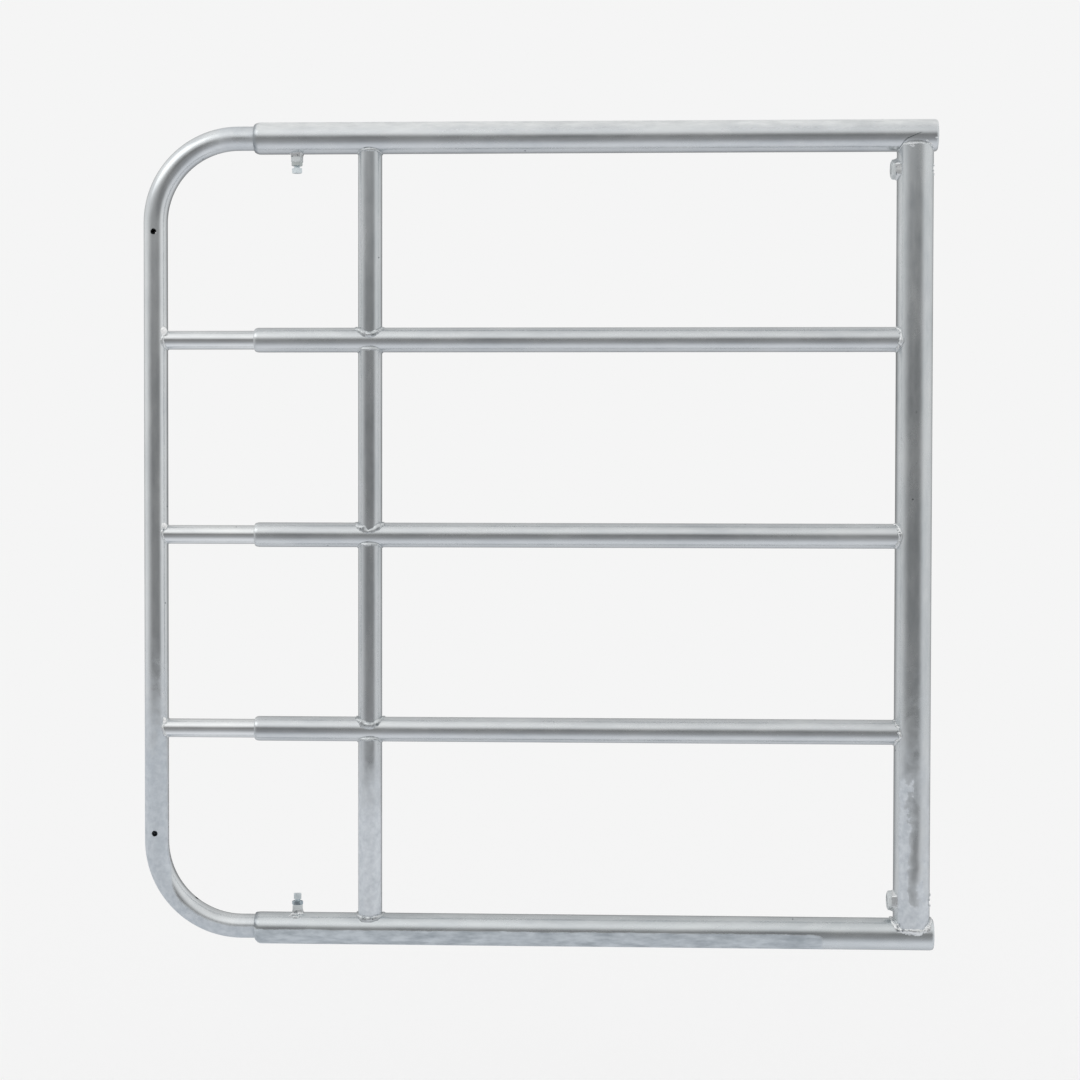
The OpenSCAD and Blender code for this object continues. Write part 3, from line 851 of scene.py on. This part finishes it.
grey_weld = weld_metal("hot_dipped_zinc_on_stay_welds", "#AEB3B6", "#E0E3E4", "#9AA0A3")
lump_zinc = weld_metal("bright_zinc_on_weld_lumps", "#E6E8E8", "#FBFBFB", "#D4D7D8", 0.3)
# dark grey: the flux in the drain hole, and the painted shade line on the top rail
dark_flux_and_shade_line = weld_metal("dark_flux_and_painted_shade_line", "#4E5457", "#7A8084", "#44494C")
plated = plated_steel("blue_passivated_screws", "#EEF4F6", "#CCD8DD", 0.65)
# the bottom lock nut: its blue passivation, darkened further with painted shade for the shadow it sits in
plated_blue_and_painted_shade = plated_steel("blue_passivated_bottom_lock_nut_with_painted_shade", "#CBD6DC", "#93A2AB", 1.0)
plated_grey = plated_steel("zinc_plated_top_lock_nut", "#CDD3D2", "#B2B9B8", 0.6)


# Hinged frame

HINGED, SLIDING = "hinged_frame", "sliding_frame"
low, high = box_mm("top_clamp_screw")
clamp_x = (low[0] + high[0]) / 2
hinge_z = [sum(box_mm(n)[k][2] for k in (0, 1)) / 2 for n in ("bottom_hinge_nut", "top_hinge_nut")]
# necks at the rails' ends: room left round the tube inside, their lengths, and how far open ends draw in
MOUTH_FIT = 0.4
MOUTH_NECK, MID_NECK, END_NECK = 7.5, 5.5, 4.5
END_DRAWN = 1.6
# heights at which the zinc starts to go matt, and at which it is matt
STAY_MATT, POST_MATT, END_MATT = (260, 60), (430, 80), (380, 70)
rail_mouth = along_x("top_rail")[2]


def low_dull(x, y, z):
    """Stays go matt towards the ground, less at their edges."""
    return smooth(*STAY_MATT, z) * smooth(1.02, 0.85, np.abs(x - stay_x) / stay_r)


def upright_dull(x, y, z):
    """The hinge upright has matt patches low down, most of them on its left, parted by a dark streak."""
    across = x - upright_x
    left = smooth(6, -14, across)
    matt = 0.55 * smooth(*POST_MATT, z) + 0.25 * left * smooth(230, 60, z) + 0.3 * smooth(20, -40, z)
    wobble = 2.5 * np.sin(z / 8) + 1.5 * np.sin(z / 3.7)
    streak = np.exp(-((across - 0.12 * z + 3 + wobble) / 6.5) ** 2) * window(z, (-25, 20, 60, 150))
    return (matt - 0.25 * streak) * smooth(-23.5, -16, across) * smooth(1.02, 0.85, across / upright_r)


def mouth_painted_shade(x):
    """Painted shade: the drawn-in mouths of the rails are painted a darker grey."""
    return smooth(MOUTH_NECK, 1.5, x - rail_mouth)


def top_rail_painted_light(x, y, z):
    """The top rail is pale chalk along its top, a painted highlight for light from above, and takes painted
    shade at its mouth.
    """
    painted_shade = mouth_painted_shade(x)
    return 0.8 * smooth(3, 17, z - rail_z["top_rail"]) * (1 - painted_shade) - painted_shade


def bottom_band_and_mouth_shade(x, y, z):
    """The bottom rail's lower front is matt and a darker grey from its mouth nearly to the upright.

    Elsewhere its mouth takes painted shade."""
    down = smooth(5.0, -2.5, z - rail_z["bottom_rail"])
    run = 1.1 * down * smooth(-80, -96, x) * smooth(4, -4, y)
    return np.where(run > 0.1, run, -mouth_painted_shade(x))


def bend_dull(x, y, z):
    """The end frame goes matt downwards, on the outer half of its lower bend and leg too.

    The top leg has a matt patch near its rail."""
    across = np.minimum(x - (end_x + BEND_R_LOW), 0)
    up = np.minimum(z - (leg_low_z + BEND_R_LOW), 0)
    out = (np.hypot(across, up) - BEND_R_LOW) / end_r
    turned = np.degrees(np.arctan2(-up, -across + 1e-6))
    edge = -1.15 + 1.15 * smooth(5, 45, turned)
    outer = smooth(edge - 0.38, edge + 0.16, out) * smooth(1.05, 0.85, np.abs(out))
    return 1.25 * smooth(*END_MATT, z) * outer + 0.4 * smooth(-915, -880, x) * smooth(900, 940, z)


for node in RAILS:
    z, r, x0, x1 = along_x(node)
    if node in ("top_rail", "bottom_rail"):
        leg_z = leg_top_z if node == "top_rail" else leg_low_z
        neck = (r - RAIL_WALL - end_r - MOUTH_FIT, leg_z - z, MOUTH_NECK)
        necks = (neck, (END_DRAWN, 0.0, END_NECK))
        made = tube("x", z, r, RAIL_WALL, flat_end(x0), flat_end(x1), necks=necks)
    else:
        neck = (r - MID_WALL - INNER_R - MOUTH_FIT, 0.0, MID_NECK)
        butt = butt_end(upright_x, upright_r, -1)
        made = tube("x", z, r, MID_WALL, flat_end(x0), butt, necks=(neck, NO_NECK))
    zinc = {"top_rail": top_zinc_with_painted_sheen, "bottom_rail": low_zinc}.get(node, rail_zinc)
    piece = piece_of(node + "_tube", [made], HINGED, node, zinc)
    if node in ("top_rail", "bottom_rail"):
        side = -1 if node == "top_rail" else 1
        drill(piece, [round_rod((clamp_x, 0, z + side * r), (0, 0, 1), CLAMP_HOLE_R, 20)])
        mark_matt_and_painted_light(piece, top_rail_painted_light if node == "top_rail" else bottom_band_and_mouth_shade)

made = tube("z", upright_x, upright_r, UPRIGHT_WALL,
            saddle_end(rail_z["bottom_rail"], rail_r["bottom_rail"], 1, lip_low),
            saddle_end(rail_z["top_rail"], rail_r["top_rail"], -1, lip_high), sides=96)
upright = piece_of("hinge_upright_tube", [made], HINGED, "hinge_upright", post_zinc)
drill(upright, [round_rod((upright_x, 0, z), (1, 0, 0), HINGE_HOLE_R, 80) for z in hinge_z])
mark_matt_and_painted_light(upright, upright_dull)

STAYS = [("top_stay", "upper_rail", "top_rail"), ("upper_stay", "middle_rail", "upper_rail"),
         ("lower_stay", "lower_rail", "middle_rail"), ("bottom_stay", "bottom_rail", "lower_rail")]
stay_lips = {}
for node, below, above in STAYS:
    stay_lips[node] = rail_z[above] - box_mm(node)[1][2]
    made = tube("z", stay_x, stay_r, STAY_WALL, saddle_end(rail_z[below], rail_r[below], 1),
                saddle_end(rail_z[above], rail_r[above], -1, stay_lips[node]))
    piece = piece_of(node + "_tube", [made], HINGED, node, stay_zinc)
    mark_matt_and_painted_light(piece, low_dull)

# Sliding frame

SLIDE_TUBES = ["upper_slide_tube", "middle_slide_tube", "lower_slide_tube"]
for node in SLIDE_TUBES:
    z, r, x0, x1 = along_x(node)
    made = tube("x", z, r, INNER_WALL, butt_end(end_x, end_r, 1), flat_end(x1), sides=64)
    piece_of(node + "_zinc", [made], SLIDING, node, slide_zinc)

end_frame = piece_of("end_frame_tube", [bent_tube()], SLIDING, "end_frame", end_zinc)
holes = [round_rod((end_x, 0, z), (0, 1, 0), LATCH_HOLE_R, 60)
         for z in (leaf_low + LATCH_INSET + LATCH_RISE, leaf_high - LATCH_INSET)]
inward = np.array((cos(radians(DRAIN_TURN)), 0, sin(radians(DRAIN_TURN))))
spot = np.array((end_x + BEND_R_LOW, 0, leg_low_z + BEND_R_LOW)) - inward * (BEND_R_LOW - end_r)
holes.append(round_rod(spot, inward, DRAIN_R, 14))
drill(end_frame, holes)
mark_matt_and_painted_light(end_frame, bend_dull)

# Dark flux left in the drain hole: how thick it is, how far sunk in the wall, and its top from the skin

FLUX_THICK, FLUX_SUNK, FLUX_TOP = 0.35, 0.05, -0.3
FLUX_SIDES = 40
flux_out, flux_in = DRAIN_R + FLUX_SUNK, DRAIN_R - FLUX_THICK
section = ((flux_out, -END_WALL), (flux_out, FLUX_TOP), (flux_in, FLUX_TOP), (flux_in, -END_WALL))
rows = [(np.full(FLUX_SIDES, r), h) for r, h in section]
lining = skin(lathe(rows, turns(FLUX_SIDES), spot, inward, (0, 1, 0)), True)
piece_of("drain_hole_flux", [lining], SLIDING, "", dark_flux_and_shade_line)

# Welds: how far a bead climbs one tube and runs out on the other

RAIL_BEAD, SLIDE_BEAD = (3.4, 2.4), (2.4, 1.8)
UPRIGHT_TOP_BEAD, UPRIGHT_FOOT_BEAD = (1.6, 0.6), (2.0, 7.5)
STAY_FOOT_BEAD, STAY_TOP_BEAD = (5.6, 5.2), (2.2, 2.2)
# lumps where a mid rail meets the upright: degrees up from the front, and size
RAIL_LUMPS = ((62, 2.6), (30, 2.0), (-8, 2.2), (-48, 2.4))
# lumps round the upright's foot and top and at the bottom clamp nut's foot: place from the axes, and size
FOOT_LUMPS = ((-19.5, -16.5, 15.0, 3.0), (-15.5, -19.5, 9.0, 3.2), (-9.0, -20.8, 5.5, 2.6),
              (-4.5, -20.9, 4.0, 2.2), (3.0, -20.9, 3.5, 2.6), (8.5, -20.8, 4.5, 2.2),
              (15.5, -19.5, 8.5, 3.0), (20.0, -16.5, 13.0, 2.8))
TOP_LUMPS = ((-6.0, -23.2, -17.0, 2.6), (-8.5, -22.6, -16.5, 1.8), (13.0, -20.2, -10.0, 2.2),
             (18.5, -16.2, -12.8, 2.6), (21.3, -13.0, -15.6, 2.2), (25.2, -20.0, -6.0, 1.8))
CLAMP_LUMPS = ((-5.0, -8.5, 19.5, 4.6), (-1.5, -13.2, 16.4, 4.4), (-8.0, -11.8, 17.4, 2.8),
               (4.5, -11.5, 17.6, 2.6))
# burrs at the rims of the hinge holes: place across and up from the hole's axis, and size
RIM_BURRS = ((-6.0, 9.0, 2.0), (-9.5, 3.5, 1.8), (-8.8, -5.0, 2.2))
# the lump over each slide tube: place from the end frame's axis and the tube's, size, and share for each tube
SLIDE_LUMP, SLIDE_LUMP_SIZE, SLIDE_LUMP_SHARES = (11.8, -10.6, 11.2), (5.2, 3.9, 6.5), (1.0, 0.78, 0.7)

top_z, top_r = rail_z["top_rail"], rail_r["top_rail"]
low_z, low_r = rail_z["bottom_rail"], rail_r["bottom_rail"]
beads = []
for k, node in enumerate(("upper_rail", "middle_rail", "lower_rail")):
    z, r = rail_z[node], rail_r[node]
    beads.append(butt_weld(upright_x, upright_r, z, r, -1, *RAIL_BEAD, 11 + 9 * k))
    for j, (turned, size) in enumerate(RAIL_LUMPS):
        angle = radians(turned + 5 * k)
        dy, dz = r * cos(angle), r * sin(angle)
        spot = (upright_x - sqrt(upright_r ** 2 - dy ** 2) - 1.2, -dy - 0.6, z + dz)
        beads.append(blob(spot, (size, 0.8 * size, 0.8 * size), 380 + 5 * k + j))
beads.append(saddle_weld(upright_x, upright_r, top_z, top_r, -1, lip_high, *UPRIGHT_TOP_BEAD, 41))
beads.append(saddle_weld(upright_x, upright_r, low_z, low_r, 1, lip_low, *UPRIGHT_FOOT_BEAD, 47))
for k, (dx, dy, dz, size) in enumerate(FOOT_LUMPS):
    beads.append(blob((upright_x + dx, dy, low_z + dz), (size, 0.8 * size, 0.9 * size), 340 + k))
for k, (dy, dz, size) in enumerate(RIM_BURRS):
    rim = sqrt(upright_r ** 2 - dy ** 2)
    beads.append(blob((upright_x + rim, dy, hinge_z[0] + dz), (1.7, size, 1.3 * size), 350 + k))
    beads.append(blob((upright_x + rim, dy, hinge_z[1] - 0.8 * dz), (1.2, 0.8 * size, size), 360 + k))
for k, (dx, dy, dz, size) in enumerate(TOP_LUMPS):
    beads.append(blob((upright_x + dx, dy, top_z + dz), (size, 1.3, 0.65 * size), 370 + k))
piece_of("upright_weld_beads", beads, HINGED, "upright_welds", weld_zinc, WELD_CREASE)

beads = []
for k, (node, below, above) in enumerate(STAYS):
    beads.append(saddle_weld(stay_x, stay_r, rail_z[below], rail_r[below], 1, 0.0, *STAY_FOOT_BEAD,
                             61 + 14 * k, uneven=0.34, filled=True))
    beads.append(saddle_weld(stay_x, stay_r, rail_z[above], rail_r[above], -1, stay_lips[node],
                             *STAY_TOP_BEAD, 68 + 14 * k, uneven=0.14))
piece_of("stay_weld_beads", beads, HINGED, "stay_welds", grey_weld, WELD_CREASE)

beads, lumps = [], []
for k, (node, share) in enumerate(zip(SLIDE_TUBES, SLIDE_LUMP_SHARES)):
    z, r, x0, x1 = along_x(node)
    beads.append(butt_weld(end_x, end_r, z, r, 1, *SLIDE_BEAD, 131 + 9 * k))
    spot = (end_x + SLIDE_LUMP[0], SLIDE_LUMP[1], z + SLIDE_LUMP[2])
    lumps.append(blob(spot, [size * share for size in SLIDE_LUMP_SIZE], 310 + k))
piece_of("end_frame_weld_beads", beads, SLIDING, "end_frame_welds", weld_zinc, WELD_CREASE)
piece_of("end_frame_weld_lumps", lumps, SLIDING, "", lump_zinc, WELD_CREASE)

# A thin dark line on the top rail beside the upright: painted shade, standing for the upright's dark
# reflection and contact shadow on the rail

SHADE_LINE_X, SHADE_LINE_Z = (-23.0, -20.0, -17.0, -13.0, 6.0), (-19.0, -14.6, -10.6, -6.8, 1.5)
SHADE_LINE_WIDE, SHADE_LINE_PROUD = 1.0, 0.18
# its section: which side of the line, and how far above the rail's surface
SHADE_LINE_SECTION = ((-1, -0.3), (1, -0.3), (1, 0.4 * SHADE_LINE_PROUD), (0, SHADE_LINE_PROUD), (-1, 0.4 * SHADE_LINE_PROUD))
rows = []
for s in np.linspace(0, 1, 40):
    x = SHADE_LINE_X[0] + (SHADE_LINE_X[-1] - SHADE_LINE_X[0]) * s
    half = SHADE_LINE_WIDE * (0.3 + 0.7 * sin(pi * s) ** 0.5) / 2
    level = asin(np.interp(x, SHADE_LINE_X, SHADE_LINE_Z) / top_r)
    ring = []
    for aside, lift in SHADE_LINE_SECTION:
        r = top_r + lift
        turned = level + 0.8 * half * aside / r
        ring.append((upright_x + x - 0.6 * half * aside, -r * cos(turned), top_z + r * sin(turned)))
    rows.append(ring)
piece_of("top_rail_painted_shade_line", [skin(rows, False)], HINGED, "", dark_flux_and_shade_line, WELD_CREASE)

# Nuts and clamp screws: how far a weld collar climbs and spreads, and how each clamp is turned, in degrees

HINGE_COLLAR, CLAMP_COLLAR = (2.6, 2.2), (1.5, 1.8)
CLAMPS = (("top", -1, -9, 36), ("bottom", 1, 6, 8))
wall_turns = turns(NUT_SIDES)
collars = []
for k, (node, z) in enumerate(zip(("bottom_hinge_nut", "top_hinge_nut"), hinge_z)):
    low, high = box_mm(node)
    seat = (high[0], 0, z), (-1, 0, 0), (0, -1, 0)
    made = threaded_nut(*seat, 6, HINGE_AF, 0.41 * HINGE_AF, high[0] - low[0], HINGE_BORE_R, HINGE_PITCH, 14)
    piece = piece_of(node + "_hex", [made], HINGED, node, nut_zinc, 40)
    mark_matt_and_painted_light(piece, lambda x, y, z: 0.8)
    gap = upright_x - upright_r - high[0]
    collars.append(nut_collar(*seat, flat_sides(wall_turns, 6, HINGE_AF), HINGE_HOLE_R, upright_r, gap,
                              *HINGE_COLLAR, 131 + 7 * k))
for k, (end, side, nut_turn, head_turn) in enumerate(CLAMPS):
    rail, body = end + "_rail", end + "_clamp"
    nut, lock, screw = end + "_clamp_nut", end + "_lock_nut", end + "_clamp_screw"
    axis = (0, 0, side)
    bore = SCREW_R + SCREW_FIT
    low, high = box_mm(nut)
    foot = (clamp_x, 0, low[2] if side > 0 else high[2])
    seat = foot, axis, facing(nut_turn)
    made = threaded_nut(*seat, 4, CLAMP_AF, 0.62 * CLAMP_AF, high[2] - low[2], bore, SCREW_PITCH)
    piece = piece_of(nut + "_square", [made], HINGED, nut, nut_zinc, NUT_CREASE)
    mark_matt_and_painted_light(piece, lambda x, y, z: 0.7)
    gap = abs(foot[2] - rail_z[rail]) - rail_r[rail]
    collars.append(nut_collar(*seat, flat_sides(wall_turns, 4, CLAMP_AF), CLAMP_HOLE_R, rail_r[rail], gap,
                              *CLAMP_COLLAR, 151 + 7 * k))
    low, high = box_mm(lock)
    foot = (clamp_x, 0, low[2] if side > 0 else high[2])
    seat = foot, axis, facing(0)
    made = threaded_nut(*seat, 6, CLAMP_AF, 0.5 * CLAMP_AF, high[2] - low[2], bore, SCREW_PITCH)
    # the bottom lock nut's darker plating includes painted shade
    plating = plated_blue_and_painted_shade if side > 0 else plated_grey
    piece_of(lock + "_hex", [made], HINGED, lock, plating, NUT_CREASE)
    low, high = box_mm(screw)
    ends = sorted((side * (low[2] - rail_z[rail]), side * (high[2] - rail_z[rail])))
    middle = (clamp_x, 0, rail_z[rail])
    made = clamp_bolt(middle, axis, facing(head_turn), ends[0], ends[1] - HEAD_H, ends[1])
    piece_of(screw + "_bolt", [made], body, screw, plated, NUT_CREASE)
for k, (dx, dy, dz, size) in enumerate(CLAMP_LUMPS):
    collars.append(blob((clamp_x + dx, dy, low_z + dz), (size, 0.45 * size, 0.5 * size), 320 + k))
piece_of("nut_weld_collars", collars, HINGED, "nut_welds", weld_zinc, WELD_CREASE)

bpy.context.scene.view_settings.view_transform = "Standard"
